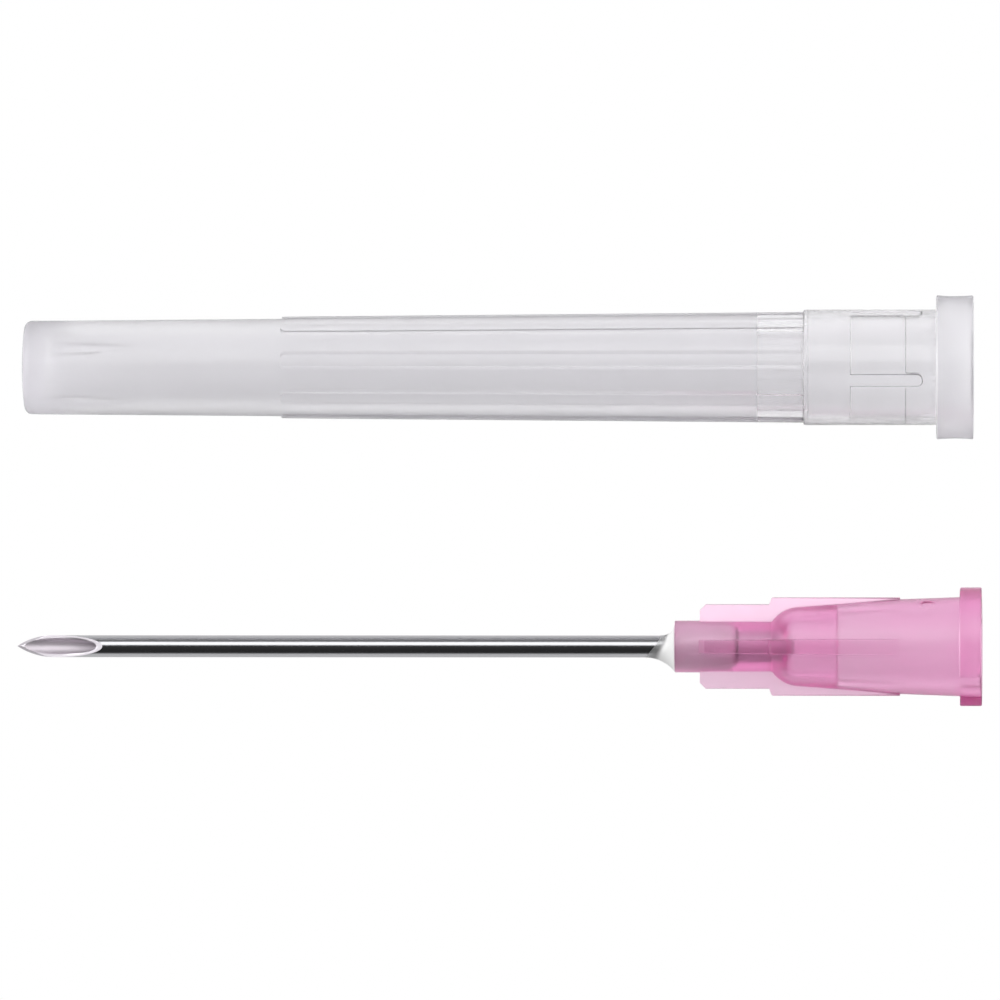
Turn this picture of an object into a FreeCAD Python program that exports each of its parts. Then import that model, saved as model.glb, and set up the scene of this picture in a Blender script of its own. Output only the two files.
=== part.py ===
"""Hypodermic needle, 18 gauge by 38 mm, with its protective sheath lying beside it.

Millimetres, +Z up, +X from the needle's point towards its hub. The floor is z = 0.
Each body is drawn along its own X axis and laid on the floor by its Placement:
the needle rests on its point and its rear lug, the sheath on its closed end and its flange.
"""

import os
import re

import FreeCAD
import Part
import Sketcher

SIZES = {
    # cannula, x = 0 at the point
    "exposed_length": (38.2, "point to the hub's nose face, 1 1/2 inch"),
    "tube_end": (0.15, "reach of the tube's rear end into the hub's chamber"),
    "tube_radius": (0.635, "outside radius, 18 gauge"),
    "lumen_radius": (0.47, "bore radius of a thin-walled 18 gauge tube"),
    "bevel_length": (5.04, "point to the heel of the bevel"),
    "bevel_angle": (13.5, "primary grind against the axis, degrees"),
    "lancet_angle": (23.3, "side grinds against the axis, degrees"),
    "lancet_roll": (35.0, "turn of the side grinds about the axis, degrees"),
    # hub, x = 0 at the nose face
    "nose_radius": (1.495, "outside radius of the nose"),
    "shoulder_start": (5.6, "where the nose swells out"),
    "shoulder_end": (7.1, "where the shoulder meets the cone"),
    "shoulder_radius": (2.31, "outside radius at the shoulder's end"),
    "shoulder_curve": (1.98, "radius of the shoulder's arc"),
    "cone_break": (13.0, "where the cone turns shallower"),
    "cone_break_radius": (2.735, "outside radius at the break"),
    "rear_radius": (2.91, "outside radius at the mouth"),
    "hub_length": (17.73, "nose face to mouth"),
    "fin_front": (1.45, "front end of the fins"),
    "fin_end": (13.0, "rear end of the fins"),
    "fin_front_width": (0.74, "fin thickness at the front"),
    "fin_rear_width": (0.92, "fin thickness at the rear"),
    "fin_corner": (0.33, "bevel on the fin's front corner"),
    "fin_low_radius": (2.44, "radius over the fins' front length"),
    "fin_step": (5.45, "where the fins step up"),
    "fin_high_radius": (2.84, "radius over the fins' rear length"),
    "lug_width": (1.26, "length of the lugs along the hub"),
    "lug_radius": (3.425, "radius over the lugs"),
    "lug_edge": (0.08, "bevel on the lugs' rims"),
    "lug_span": (124.0, "arc of one lug, degrees"),
    "lug_middle": (31.0, "middle of the upper lug, degrees from the top"),
    "socket_radius": (2.135, "radius of the tapered socket at the mouth"),
    "socket_depth": (8.3, "depth of the tapered socket"),
    "socket_taper": (6.0, "taper on the diameter, per cent"),
    "socket_lead": (0.12, "bevel round the socket's mouth"),
    "chamber_radius": (1.46, "radius of the chamber ahead of the socket"),
    "chamber_end": (6.45, "front end of the chamber"),
    "chamber_round": (0.6, "rounding of the chamber's front end"),
    "seat_gap": (0.01, "gap between the tube and its seat"),
    "well_radius": (0.96, "radius of the adhesive well in the nose"),
    "well_depth": (3.05, "depth of the well's straight part"),
    "well_end": (3.7, "where the well's cone meets the tube's seat"),
    "gate_place": (14.6, "mark of the moulding gate, from the nose"),
    "gate_angle": (60.0, "gate mark, degrees from the top"),
    "gate_radius": (0.5, "radius of the gate mark"),
    "gate_depth": (0.074, "depth of the gate mark's floor below the cone"),
    # adhesive bead, x = 0 at the nose face
    "bead_reach": (1.15, "length of the fillet ahead of the nose"),
    "bead_film": (0.03, "thickness of the wetted film on the tube"),
    "bead_inset": (0.025, "distance of the bead's rim from the nose's edge"),
    "wet_long": (1.73, "reach of the wetted edge on one side"),
    "wet_short": (0.8, "reach of the wetted edge on the other side"),
    # sheath, x = 0 at the closed end
    "point_room": (1.54, "room ahead of the point once the needle is inside"),
    "end_wall": (0.6, "wall round the cavity at the closed end"),
    "end_corner": (0.45, "rounding of the closed end"),
    "end_dome": (0.13, "rise of the closed end's dome"),
    "collar_depth": (9.8, "front face of the collar, from the mouth"),
    "rear_wall": (0.555, "wall over the fins' bore at the collar"),
    "collar_wall": (0.26, "wall between the mouth's bore and the collar"),
    "collar_lead": (0.12, "slope at the collar's front"),
    "flange_width": (2.12, "width of the mouth flange"),
    "flange_rise": (0.82, "height of the flange over the collar"),
    "flange_edge": (0.07, "bevel on the flange's edges"),
    "flange_hollow": (0.045, "hollow in the flange's rim"),
    "rib_count": (8, "outer ribs"),
    "rib_front": (15.0, "front end of the outer ribs"),
    "rib_width": (0.78, "width of an outer rib"),
    "rib_corner": (0.3, "rounding of a rib's front corners"),
    "rib_front_rise": (0.1272, "height of the ribs over the wall at their front"),
    "rib_rear_rise": (0.15, "height of the ribs over the wall at the collar"),
    "cavity_start": (1.27, "thickness of the closed end"),
    "cavity_bevel": (0.35, "bevel round the cavity's end"),
    "cavity_radius": (2.1, "cavity radius up to the first step"),
    "fins_depth": (12.46, "first step of the bore, the fins' stop, from the mouth"),
    "fins_room": (0.05, "room between the fins' front length and the bore"),
    "hub_setback": (1.05, "distance of the second step ahead of the fins' own step"),
    "hub_room": (0.06, "room between the fins' rear length and the bore"),
    "splines_depth": (7.08, "third step of the bore, from the mouth"),
    "splines_rise": (0.12, "height of the splines, widening the bore between them"),
    "throat_depth": (3.9, "last step of the bore, from the mouth"),
    "throat_rise": (0.05, "widening of the bore at the last step"),
    "mouth_lead": (0.15, "bevel round the sheath's mouth"),
    "spline_count": (4, "splines inside the mouth"),
    "spline_setback": (2.92, "rear end of the splines, from the mouth"),
    "spline_width": (0.7, "width of a spline"),
    "tongue_count": (4, "tongues inside the closed end"),
    "tongue_end": (7.1, "tip of the tongues"),
    "tongue_width": (0.9, "width of a tongue at its root"),
    "tongue_height": (0.25, "height of the tongues over the cavity's wall"),
    # places on the floor
    "needle_side": (-8.425, "y of the needle's axis"),
    "sheath_side": (7.7, "y of the sheath's axis"),
    "sheath_start": (-27.6, "x of the sheath's closed end"),
    "sheath_roll": (7.5, "turn of the top rib away from the needle, degrees"),
}

# Places worked out from the sizes, as formulas in their names.
PLACES = {
    "lug_front": "hub_length - lug_width",
    "seat_radius": "tube_radius + seat_gap",
    "socket_end_radius": "socket_radius - socket_depth * socket_taper / 200",
    "lancet_foot": "-tube_radius * cos(lancet_roll)",
    "bevel_foot": "tube_radius - bevel_length * tan(bevel_angle)",
    "gate_cone": "(rear_radius - cone_break_radius) / (hub_length - cone_break)",
    "gate_top": "cone_break_radius + gate_cone * (gate_place - cone_break)",
    "gate_floor": "gate_top - gate_depth",
    "bead_foot": "tube_radius + bead_film",
    "bead_rim": "nose_radius - bead_inset",
    "bead_rise": "bead_rim - bead_foot",
    "bead_curve": "(bead_reach ^ 2 + bead_rise ^ 2) / (2 * bead_rise)",
    "wet_slope": "(wet_long - wet_short) / 2",
    # The fins' front ends stop at the sheath's first inner step once the needle is inside.
    "sheath_length": "cavity_start + point_room + exposed_length + fin_front + fins_depth",
    "hub_depth": "fins_depth - (fin_step - hub_setback - fin_front)",
    "step_fins_radius": "fin_low_radius + fins_room",
    "step_hub_radius": "fin_high_radius + hub_room",
    "step_splines_radius": "step_hub_radius + splines_rise",
    "step_mouth_radius": "step_splines_radius + throat_rise",
    "collar_radius": "step_mouth_radius + collar_wall",
    "flange_radius": "collar_radius + flange_rise",
    "wall_radius": "step_fins_radius + rear_wall",
    "end_radius": "cavity_radius + end_wall",
    "collar_front": "sheath_length - collar_depth",
    "flange_front": "sheath_length - flange_width",
    "step_fins": "sheath_length - fins_depth",
    "step_hub": "sheath_length - hub_depth",
    "step_splines": "sheath_length - splines_depth",
    "step_mouth": "sheath_length - throat_depth",
    "spline_end": "sheath_length - spline_setback",
    "rim_half": "0.5 * flange_width - flange_edge",
    "rim_curve": "(rim_half ^ 2 + flange_hollow ^ 2) / (2 * flange_hollow)",
    "corner_place": "end_dome + end_corner",
    "corner_radius": "end_radius - end_corner",
    "wall_slope": "(wall_radius - end_radius) / (collar_front - corner_place)",
    "rib_foot": "rib_front - 0.5",
    "rib_front_crest": "end_radius + wall_slope * (rib_foot - corner_place) + rib_front_rise",
    "rib_rear_crest": "wall_radius + rib_rear_rise",
    "dome_curve": "(corner_radius ^ 2 + end_dome ^ 2) / (2 * end_dome)",
    # The needle rests on its point and on the front of its lower lug.
    "needle_tilt": "atan((lug_radius - tube_radius) / (exposed_length + lug_front + lug_edge))",
    "needle_span": "(exposed_length + hub_length) * cos(needle_tilt)",
    "needle_lean": "(lug_radius + tube_radius) * sin(needle_tilt)",
    "needle_start": "-0.5 * (needle_span + needle_lean)",
    "needle_height": "tube_radius * cos(needle_tilt)",
    "nose_start": "needle_start + exposed_length * cos(needle_tilt)",
    "nose_height": "needle_height + exposed_length * sin(needle_tilt)",
    # The sheath rests on its rounded closed end and on the front of its flange.
    "foot_place": "flange_front + flange_edge",
    "foot_run": "foot_place - corner_place",
    "foot_rise": "flange_radius - corner_radius",
    "foot_line": "sqrt(foot_run ^ 2 + foot_rise ^ 2)",
    "sheath_tilt": "atan(foot_rise / foot_run) - asin(end_corner / foot_line)",
    "sheath_height": "flange_radius * cos(sheath_tilt) - foot_place * sin(sheath_tilt)",
}

doc = FreeCAD.newDocument("HypodermicNeedle")
sheet = doc.addObject("Spreadsheet::Sheet", "Sizes")
for row, (alias, (value, note)) in enumerate(SIZES.items(), start=1):
    sheet.set(f"A{row}", alias.replace("_", " "))
    sheet.set(f"B{row}", str(value))
    sheet.setAlias(f"B{row}", alias)
    sheet.set(f"C{row}", note)
doc.recompute()


def sized(formula):
    """The formula with its places written out and the sheet's name before each alias."""

    def spell(match):
        word = match[0]
        if word in PLACES:
            return f"({sized(PLACES[word])})"
        return f"Sizes.{word}" if word in SIZES else word

    return re.sub(r"[a-z_]+", spell, formula)


def number(formula):
    """The formula's present value."""
    value = sheet.evalExpression(sized(formula))
    return float(getattr(value, "Value", value))


def bind(target, path, formula):
    """Bind a property of the target to a formula of the sheet's sizes."""
    target.setExpression(path, sized(formula))


def origin_feature(body, role):
    """One of the planes or axes of the body's own origin."""
    return next(item for item in body.Origin.OriginFeatures if item.Role == role)


def new_sketch(body, name, plane, roll=None, height=None):
    """A sketch on a plane of the body's origin, rolled about X and lifted along its normal."""
    sketch = body.newObject("Sketcher::SketchObject", name)
    sketch.AttachmentSupport = [(origin_feature(body, plane), "")]
    sketch.MapMode = "FlatFace"
    if roll is not None:
        sketch.AttachmentOffset = FreeCAD.Placement(
            FreeCAD.Vector(), FreeCAD.Rotation(FreeCAD.Vector(1, 0, 0), number(roll))
        )
        bind(sketch, "AttachmentOffset.Rotation.Angle", roll)
    if height is not None:
        turn = roll or "0"
        bind(sketch, "AttachmentOffset.Base.y", f"-({height}) * sin({turn})")
        bind(sketch, "AttachmentOffset.Base.z", f"({height}) * cos({turn})")
    return sketch


def arc_between(start, end, radius):
    """The short arc from start to end, to the left of the chord's way for a radius above 0."""
    chord = end - start
    reach = (radius * radius - chord.Length**2 / 4) ** 0.5
    side = FreeCAD.Vector(-chord.y, chord.x, 0).normalize() * (1 if radius > 0 else -1)
    centre = (start + end) * 0.5 + side * reach
    first, last = (start, end) if radius > 0 else (end, start)
    angles = [FreeCAD.Vector(1, 0, 0).getAngle(p - centre) for p in (first, last)]
    angles = [a if p.y >= centre.y else -a for a, p in zip(angles, (first, last))]
    circle = Part.Circle(centre, FreeCAD.Vector(0, 0, 1), abs(radius))
    return Part.ArcOfCircle(circle, *angles)


def draw_loop(sketch, corners):
    """Draw a closed loop of lines and arcs through the corners, each bound to the sheet.

    A corner is (x, y) or (x, y, radius), formulas all; the radius makes an arc of the edge
    that leaves the corner, turning left where it is above 0 and right where it is below.
    """
    points = [FreeCAD.Vector(number(c[0]), number(c[1]), 0) for c in corners]
    edges = []
    for index, corner in enumerate(corners):
        start, end = points[index], points[(index + 1) % len(points)]
        if len(corner) == 3:
            radius = number(corner[2])
            geometry = sketch.addGeometry(arc_between(start, end, radius), False)
            edges.append((geometry, 1, 2) if radius > 0 else (geometry, 2, 1))
        else:
            geometry = sketch.addGeometry(Part.LineSegment(start, end), False)
            edges.append((geometry, 1, 2))
    for index, (geometry, first, last) in enumerate(edges):
        following, entry, _ = edges[(index + 1) % len(edges)]
        sketch.addConstraint(Sketcher.Constraint("Coincident", geometry, last, following, entry))
    for index, ((geometry, first, _), corner, point) in enumerate(zip(edges, corners, points)):
        for kind, axis, formula, value in (
            ("DistanceX", -2, corner[0], point.x),
            ("DistanceY", -1, corner[1], point.y),
        ):
            if str(formula) == "0":
                sketch.addConstraint(Sketcher.Constraint("PointOnObject", geometry, first, axis))
                continue
            place = sketch.addConstraint(Sketcher.Constraint(kind, geometry, first, value))
            name = f"{kind[-1].lower()}_corner_{index}"
            sketch.renameConstraint(place, name)
            bind(sketch, f"Constraints.{name}", formula)
        if len(corner) == 3:
            size = Sketcher.Constraint("Radius", geometry, abs(number(corner[2])))
            place = sketch.addConstraint(size)
            sketch.renameConstraint(place, f"radius_{index}")
            bind(sketch, f"Constraints.radius_{index}", f"abs({corner[2]})")


def draw_circle(sketch, name, x, y, radius):
    """Draw a circle whose centre and radius are bound to the sheet."""
    centre = FreeCAD.Vector(number(x), number(y), 0)
    circle = Part.Circle(centre, FreeCAD.Vector(0, 0, 1), number(radius))
    geometry = sketch.addGeometry(circle, False)
    for kind, axis, formula, value in (
        ("DistanceX", -2, x, centre.x),
        ("DistanceY", -1, y, centre.y),
    ):
        if str(formula) == "0":
            sketch.addConstraint(Sketcher.Constraint("PointOnObject", geometry, 3, axis))
            continue
        place = sketch.addConstraint(Sketcher.Constraint(kind, geometry, 3, value))
        sketch.renameConstraint(place, f"{name}_{kind[-1].lower()}")
        bind(sketch, f"Constraints.{name}_{kind[-1].lower()}", formula)
    place = sketch.addConstraint(Sketcher.Constraint("Radius", geometry, number(radius)))
    sketch.renameConstraint(place, f"{name}_radius")
    bind(sketch, f"Constraints.{name}_radius", radius)


def finish_feature(body, feature, sketch):
    """Give the feature its sketch and make it the body's tip."""
    feature.Profile = sketch
    sketch.Visibility = False
    body.Tip = feature
    doc.recompute()
    return feature


def pad(body, name, sketch, length, inwards=False):
    """A pad of the sketch."""
    feature = body.newObject("PartDesign::Pad", name)
    feature.Reversed = inwards
    bind(feature, "Length", length)
    return finish_feature(body, feature, sketch)


def pocket_through(body, name, sketch):
    """A pocket of the sketch through the whole body, both ways."""
    feature = body.newObject("PartDesign::Pocket", name)
    feature.Type = "ThroughAll"
    feature.SideType = "Symmetric"
    return finish_feature(body, feature, sketch)


def revolve(body, kind, name, sketch, angle=None):
    """A revolution or groove of the sketch about the body's X axis."""
    feature = body.newObject(f"PartDesign::{kind}", name)
    feature.ReferenceAxis = (sketch, ["H_Axis"])
    if angle is not None:
        feature.Midplane = True
        bind(feature, "Angle", angle)
    return finish_feature(body, feature, sketch)


def repeat_round(body, name, feature, count):
    """Repeat a feature evenly round the body's X axis."""
    pattern = body.newObject("PartDesign::PolarPattern", name)
    pattern.Originals = [feature]
    pattern.Axis = (origin_feature(body, "X_Axis"), [""])
    pattern.Angle = 360
    bind(pattern, "Occurrences", count)
    body.Tip = pattern
    doc.recompute()
    return pattern


def new_body(label):
    """A body labelled with its node's name."""
    body = doc.addObject("PartDesign::Body", label)
    body.Label = label
    return body


def lay_down(body, x, y, z, tilt, roll="0"):
    """Place a body on the floor, its +X end raised by the tilt, turned about its axis."""
    bind(
        body,
        "Placement",
        f"create(<<placement>>; create(<<vector>>; {x}; {y}; {z});"
        f" create(<<rotation>>; 0; -({tilt}); {roll}))",
    )


# Cannula: a drawn tube, ground flat for the bevel and then twice, rolled to either side.
cannula = new_body("cannula")
ring = new_sketch(cannula, "TubeSection", "YZ_Plane")
draw_circle(ring, "outside", "0", "0", "tube_radius")
draw_circle(ring, "bore", "0", "0", "lumen_radius")
pad(cannula, "Tube", ring, "exposed_length + chamber_end + tube_end")


def grind(name, foot, angle, roll):
    """Grind away everything above a slope that leaves x = 0 at the height foot."""
    sketch = new_sketch(cannula, f"{name}Side", "XZ_Plane", roll)
    top = "(2 * tube_radius)"
    draw_loop(
        sketch,
        [
            ("-tube_radius", f"{foot} - tube_radius * tan({angle})"),
            (f"({top} - ({foot})) / tan({angle})", top),
            ("-tube_radius", top),
        ],
    )
    pocket_through(cannula, name, sketch)


grind("Bevel", "bevel_foot", "bevel_angle", "0")
grind("LancetLeft", "lancet_foot", "lancet_angle", "lancet_roll")
grind("LancetRight", "lancet_foot", "lancet_angle", "-lancet_roll")

# Hub: one moulding with four fins, two part-round lugs and a tapered socket.
hub = new_body("hub")
outline = new_sketch(hub, "HubOutline", "XZ_Plane")
draw_loop(
    outline,
    [
        ("0", "0"),
        ("hub_length", "0"),
        ("hub_length", "rear_radius"),
        ("cone_break", "cone_break_radius"),
        ("shoulder_end", "shoulder_radius", "shoulder_curve"),
        ("shoulder_start", "nose_radius"),
        ("0", "nose_radius"),
    ],
)
revolve(hub, "Revolution", "HubBody", outline)

fin_plan = new_sketch(hub, "FinPlan", "XY_Plane")
draw_loop(
    fin_plan,
    [
        ("fin_front", "-0.5 * fin_front_width"),
        ("fin_end", "-0.5 * fin_rear_width"),
        ("fin_end", "0.5 * fin_rear_width"),
        ("fin_front", "0.5 * fin_front_width"),
    ],
)
fin = pad(hub, "Fin", fin_plan, "fin_high_radius + 0.5")
repeat_round(hub, "Fins", fin, "4")

fin_crest = new_sketch(hub, "FinCrest", "XZ_Plane")
draw_loop(
    fin_crest,
    [
        ("fin_front - fin_corner", "fin_low_radius - 2 * fin_corner"),
        ("fin_front + fin_corner", "fin_low_radius"),
        ("fin_step", "fin_low_radius"),
        ("fin_step + 0.15", "fin_high_radius"),
        ("fin_end", "fin_high_radius"),
        ("fin_end", "fin_high_radius + 1"),
        ("fin_front - fin_corner", "fin_high_radius + 1"),
    ],
)
revolve(hub, "Groove", "FinTurning", fin_crest)

lug_side = new_sketch(hub, "LugSide", "XZ_Plane", roll="-lug_middle")
draw_loop(
    lug_side,
    [
        ("lug_front", "cone_break_radius"),
        ("hub_length", "cone_break_radius"),
        ("hub_length", "lug_radius - lug_edge"),
        ("hub_length - lug_edge", "lug_radius"),
        ("lug_front + lug_edge", "lug_radius"),
        ("lug_front", "lug_radius - lug_edge"),
    ],
)
lug = revolve(hub, "Revolution", "Lug", lug_side, "lug_span")
repeat_round(hub, "Lugs", lug, "2")

socket = new_sketch(hub, "SocketSide", "XZ_Plane")
draw_loop(
    socket,
    [
        ("chamber_end", "0"),
        ("hub_length", "0"),
        ("hub_length", "socket_radius + socket_lead"),
        ("hub_length - socket_lead", "socket_radius"),
        ("hub_length - socket_depth", "socket_end_radius"),
        ("hub_length - socket_depth", "chamber_radius"),
        ("chamber_end + chamber_round", "chamber_radius", "chamber_round"),
        ("chamber_end", "chamber_radius - chamber_round"),
    ],
)
revolve(hub, "Groove", "SocketAndChamber", socket)

well = new_sketch(hub, "WellSide", "XZ_Plane")
draw_loop(
    well,
    [
        ("0", "0"),
        ("chamber_end", "0"),
        ("chamber_end", "seat_radius"),
        ("well_end", "seat_radius"),
        ("well_depth", "well_radius"),
        ("0", "well_radius"),
    ],
)
revolve(hub, "Groove", "WellAndSeat", well)

gate = new_sketch(hub, "GatePlan", "XY_Plane", roll="-gate_angle", height="gate_floor")
draw_circle(gate, "gate", "gate_place", "0", "gate_radius")
gate_mark = hub.newObject("PartDesign::Pocket", "GateMark")
gate_mark.Reversed = True
bind(gate_mark, "Length", "0.5")
finish_feature(hub, gate_mark, gate)

# Adhesive bead: a fillet that wets the tube obliquely, and the fill of the well behind it.
bead = new_body("adhesive_bead")
fillet = new_sketch(bead, "BeadSide", "XZ_Plane")
draw_loop(
    fillet,
    [
        ("-wet_long - wet_slope", "tube_radius"),
        ("well_end", "tube_radius"),
        ("well_end", "seat_radius"),
        ("well_depth", "well_radius"),
        ("0", "well_radius"),
        ("0", "bead_rim", "-bead_curve"),
        ("-bead_reach", "bead_foot"),
        ("-wet_long - wet_slope", "bead_foot"),
    ],
)
revolve(bead, "Revolution", "BeadBody", fillet)

wet_edge = new_sketch(bead, "WetEdge", "XY_Plane")
draw_loop(
    wet_edge,
    [
        ("-wet_long - wet_slope", "-2 * tube_radius"),
        ("-wet_short + wet_slope", "2 * tube_radius"),
        ("-2 * wet_long", "2 * tube_radius"),
        ("-2 * wet_long", "-2 * tube_radius"),
    ],
)
pocket_through(bead, "WetLine", wet_edge)

# Sheath: a closed tube with outer ribs, a stepped bore, splines and a turned-out mouth.
sheath = new_body("sheath")
shell = new_sketch(sheath, "SheathOutline", "XZ_Plane")
draw_loop(
    shell,
    [
        ("0", "0"),
        ("sheath_length", "0"),
        ("sheath_length", "flange_radius - flange_edge"),
        ("sheath_length - flange_edge", "flange_radius", "-rim_curve"),
        ("flange_front + flange_edge", "flange_radius"),
        ("flange_front", "flange_radius - flange_edge"),
        ("flange_front", "collar_radius"),
        ("collar_front + collar_lead", "collar_radius"),
        ("collar_front", "collar_radius - collar_lead"),
        ("collar_front", "wall_radius"),
        ("corner_place", "end_radius", "end_corner"),
        ("end_dome", "corner_radius", "dome_curve"),
    ],
)
revolve(sheath, "Revolution", "SheathBody", shell)

rib_plan = new_sketch(sheath, "RibPlan", "XY_Plane", height="cavity_radius")
draw_loop(
    rib_plan,
    [
        ("rib_front", "0.5 * rib_width - rib_corner"),
        ("rib_front", "rib_corner - 0.5 * rib_width", "rib_corner"),
        ("rib_front + rib_corner", "-0.5 * rib_width"),
        ("collar_front", "-0.5 * rib_width"),
        ("collar_front", "0.5 * rib_width"),
        ("rib_front + rib_corner", "0.5 * rib_width", "rib_corner"),
    ],
)
rib = pad(sheath, "Rib", rib_plan, "rib_rear_crest + 0.2 - cavity_radius")
repeat_round(sheath, "Ribs", rib, "rib_count")

rib_crest = new_sketch(sheath, "RibCrest", "XZ_Plane")
draw_loop(
    rib_crest,
    [
        ("rib_foot", "rib_front_crest"),
        ("collar_front", "rib_rear_crest"),
        ("collar_front", "rib_rear_crest + 0.5"),
        ("rib_foot", "rib_rear_crest + 0.5"),
    ],
)
revolve(sheath, "Groove", "RibTurning", rib_crest)

bore = new_sketch(sheath, "BoreSide", "XZ_Plane")
draw_loop(
    bore,
    [
        ("cavity_start", "0"),
        ("sheath_length", "0"),
        ("sheath_length", "step_mouth_radius + mouth_lead"),
        ("sheath_length - mouth_lead", "step_mouth_radius"),
        ("step_mouth", "step_mouth_radius"),
        ("step_mouth", "step_splines_radius"),
        ("step_splines", "step_splines_radius"),
        ("step_splines", "step_hub_radius"),
        ("step_hub", "step_hub_radius"),
        ("step_hub", "step_fins_radius"),
        ("step_fins", "step_fins_radius"),
        ("step_fins", "cavity_radius"),
        ("cavity_start + cavity_bevel", "cavity_radius"),
        ("cavity_start", "cavity_radius - cavity_bevel"),
    ],
)
revolve(sheath, "Groove", "Bore", bore)

spline_plan = new_sketch(
    sheath, "SplinePlan", "XY_Plane", roll="180 / rib_count", height="step_mouth_radius + 0.1"
)
draw_loop(
    spline_plan,
    [
        ("step_splines - 0.05", "-0.5 * spline_width"),
        ("spline_end - 0.5 * spline_width", "-0.5 * spline_width", "0.5001 * spline_width"),
        ("spline_end - 0.5 * spline_width", "0.5 * spline_width"),
        ("step_splines - 0.05", "0.5 * spline_width"),
    ],
)
spline_depth = "splines_rise + throat_rise + 0.1"
spline = pad(sheath, "Spline", spline_plan, spline_depth, inwards=True)
repeat_round(sheath, "Splines", spline, "spline_count")

tongue_plan = new_sketch(
    sheath, "TonguePlan", "XY_Plane", roll="-180 / rib_count", height="cavity_radius + 0.1"
)
draw_loop(
    tongue_plan,
    [
        ("cavity_start - 0.2", "-0.5 * tongue_width"),
        ("cavity_start + cavity_bevel", "-0.5 * tongue_width"),
        ("tongue_end", "0"),
        ("cavity_start + cavity_bevel", "0.5 * tongue_width"),
        ("cavity_start - 0.2", "0.5 * tongue_width"),
    ],
)
tongue = pad(sheath, "Tongue", tongue_plan, "tongue_height + 0.1", inwards=True)
repeat_round(sheath, "Tongues", tongue, "tongue_count")

# Lay the needle bevel up and the sheath beside it, both at rest on the floor.
lay_down(cannula, "needle_start", "needle_side", "needle_height", "needle_tilt")
lay_down(hub, "nose_start", "needle_side", "nose_height", "needle_tilt")
lay_down(bead, "nose_start", "needle_side", "nose_height", "needle_tilt")
lay_down(sheath, "sheath_start", "sheath_side", "sheath_height", "sheath_tilt", "-sheath_roll")
doc.recompute()

for item in doc.Objects:
    if {"Invalid", "Error"} & set(item.State):
        raise RuntimeError(f"{item.Label}: {item.State}")
BODIES = (cannula, hub, bead, sheath)
for body in BODIES:
    solids = [item for item in body.Group if item.isDerivedFrom("PartDesign::Feature")]
    for before, after in zip(solids, solids[1:]):
        change = after.Shape.Volume - before.Shape.Volume
        cuts = "Pocket" in after.TypeId or "Groove" in after.TypeId
        if (change > -1e-6) if cuts else (change < 1e-6):
            raise RuntimeError(f"{after.Label} changes the volume by {change:.6f}")
    if body.Shape.isNull() or not body.Shape.isValid() or len(body.Shape.Solids) != 1:
        raise RuntimeError(f"{body.Label} is not one sound solid")

os.makedirs("parts", exist_ok=True)
for body in BODIES:
    body.Shape.exportStep(f"parts/{body.Label}.step")
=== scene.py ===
"""Hypodermic needle and its clear sheath, side by side on a white surface, seen from above.

Each piece is a closed skin worked out in its own frame, in millimetres along the piece's
own X axis, and then laid on the floor as the row's solids lie. The skins are swept
sections: rows along a profile, columns round the axis, with the fins, ribs, lugs, splines
and tongues worked into the columns, so that refraction through the walls is right.
"""

import logging
import math
from dataclasses import dataclass, replace
from enum import Enum

import bmesh
import bpy
import numpy as np
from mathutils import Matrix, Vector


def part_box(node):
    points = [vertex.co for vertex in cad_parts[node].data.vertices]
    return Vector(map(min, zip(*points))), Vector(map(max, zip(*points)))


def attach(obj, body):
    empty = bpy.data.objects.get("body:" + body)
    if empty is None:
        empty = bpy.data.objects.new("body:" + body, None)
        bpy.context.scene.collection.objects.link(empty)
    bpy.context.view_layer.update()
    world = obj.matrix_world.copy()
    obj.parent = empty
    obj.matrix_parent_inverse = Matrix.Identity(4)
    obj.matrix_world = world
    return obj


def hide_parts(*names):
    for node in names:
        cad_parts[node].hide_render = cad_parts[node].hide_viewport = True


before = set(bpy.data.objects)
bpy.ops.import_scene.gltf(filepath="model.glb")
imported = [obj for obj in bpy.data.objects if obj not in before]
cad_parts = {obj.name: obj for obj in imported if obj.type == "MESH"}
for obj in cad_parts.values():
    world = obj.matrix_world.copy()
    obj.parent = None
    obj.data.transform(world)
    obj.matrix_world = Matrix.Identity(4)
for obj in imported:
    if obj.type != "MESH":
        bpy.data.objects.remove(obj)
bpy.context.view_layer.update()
MILLIMETRE = 0.001
WHITE = (1.0, 1.0, 1.0, 1.0)
# in millimetres: each piece's place on the floor, and how far apart the two rows of a
# sharp step stand; the sheath's roll is in degrees
NEEDLE_Y = -8.425
SHEATH_PLACE = (-27.6, 7.7)
SHEATH_ROLL = -7.5
HAIR = 1e-4

logging.basicConfig(level=logging.INFO, format="%(name)s %(message)s")
log = logging.getLogger("needle")


class Slot(Enum):
    """The record's material slots."""

    STEEL = "steel"
    PINK = "pink_plastic"
    ADHESIVE = "adhesive"
    CLEAR = "clear_plastic"


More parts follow.
